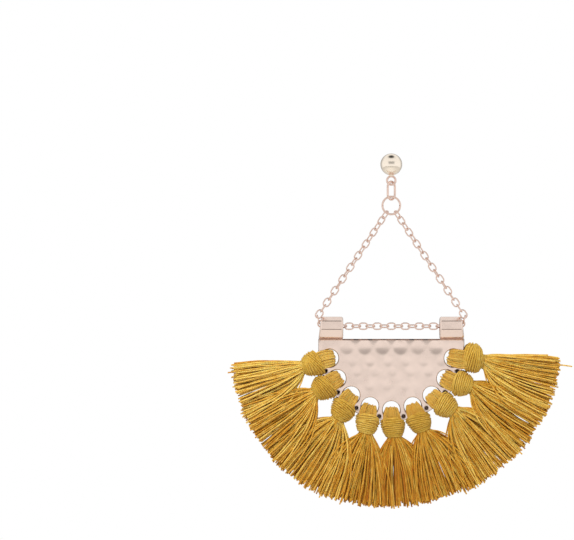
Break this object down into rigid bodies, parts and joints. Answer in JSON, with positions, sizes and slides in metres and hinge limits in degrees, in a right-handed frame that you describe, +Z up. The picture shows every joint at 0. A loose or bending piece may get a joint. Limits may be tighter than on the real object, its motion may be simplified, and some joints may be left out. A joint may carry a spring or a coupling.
{
  "type": "tassel earring",
  "caption": "Drop earring: a ball stud, a chain sling and a half-moon plate that carries a fan of bound thread tassels.",
  "frame": {"origin": "on the ear post's axis, where the back of the ball meets the ear lobe", "axes": "+Z up, -Y the front that the picture shows, +Y along the ear post, +X to the picture's right"},
  "size_m": [0.0896, 0.0173, 0.0969],
  "materials": {
    "rose_metal": "polished rose-gold plating",
    "pale_metal": "polished pale champagne plating",
    "cotton": "matt twisted cotton thread"
  },
  "bodies": {
    "stud": {"ear_stud": "pale_metal"},
    "link": {"top_link": "rose_metal"},
    "drop": {"jump_ring": "rose_metal", "chain": "rose_metal", "plate": "rose_metal", "tassel_1": "cotton", "tassel_2": "cotton", "tassel_3": "cotton", "tassel_4": "cotton", "tassel_5": "cotton", "tassel_6": "cotton", "tassel_7": "cotton", "tassel_8": "cotton", "tassel_9": "cotton", "binding_1": "cotton", "binding_2": "cotton", "binding_3": "cotton", "binding_4": "cotton", "binding_5": "cotton", "binding_6": "cotton", "binding_7": "cotton", "binding_8": "cotton", "binding_9": "cotton"}
  },
  "joints": [
    {"name": "link_swing", "type": "hinge", "parent": "stud", "child": "link", "pos_m": [0, -0.003, -0.0052], "axis": [1, 0, 0], "range_deg": [-35, 35]},
    {"name": "drop_swing", "type": "hinge", "parent": "link", "child": "drop", "pos_m": [0, -0.003, -0.00963], "axis": [0.6691, 0.7431, 0], "range_deg": [-40, 40]}
  ]
}
